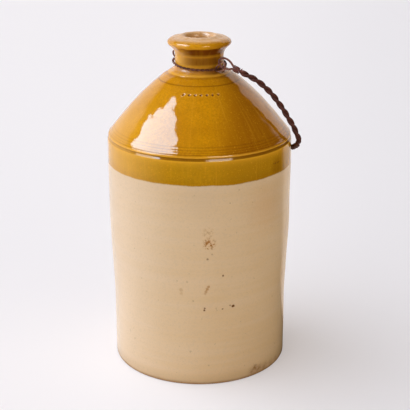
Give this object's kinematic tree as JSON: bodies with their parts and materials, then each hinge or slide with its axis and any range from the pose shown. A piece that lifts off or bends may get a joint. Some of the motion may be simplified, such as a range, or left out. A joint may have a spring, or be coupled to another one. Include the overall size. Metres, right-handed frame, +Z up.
{
  "type": "stoneware flagon",
  "caption": "Cylindrical stoneware flagon with conical glazed shoulder, narrow lipped neck, twisted wire collar and a swinging twisted-wire bail handle.",
  "frame": {"origin": "middle of the flat base that the flagon stands on", "axes": "+Z up along the axis of the flagon; the picture looks along +Y, and the bail hangs towards +X and +Y"},
  "size_m": [0.1797, 0.1811, 0.3132],
  "materials": {
    "cream_stoneware": "thin clear salt glaze over cream stoneware, ochre dip at the top, satin gloss",
    "ochre_glaze": "glossy honey-ochre glaze",
    "collar_wire": "aged brown iron wire",
    "eye_wire": "rubbed copper-brown iron wire",
    "bail_wire": "aged brown iron wire",
    "binding_wire": "rubbed copper-brown iron wire"
  },
  "bodies": {
    "flagon": {"stoneware_body": "cream_stoneware", "stoneware_shoulder": "ochre_glaze"},
    "collar": {"collar_wire_a": "collar_wire", "collar_wire_b": "collar_wire", "front_collar_eye": "eye_wire", "rear_collar_eye": "eye_wire"},
    "bail": {"bail_wire_a": "bail_wire", "bail_wire_b": "bail_wire", "front_eye_binding": "binding_wire", "rear_eye_binding": "binding_wire"}
  },
  "joints": [
    {"name": "collar_swivel", "type": "hinge", "parent": "flagon", "child": "collar", "pos_m": [0, 0, 0.288], "axis": [0, 0, 1], "continuous": true},
    {"name": "bail_swing", "type": "hinge", "parent": "collar", "child": "bail", "pos_m": [0, 0, 0.2935], "axis": [0.6428, -0.766, 0], "range_deg": [0, 245]}
  ]
}
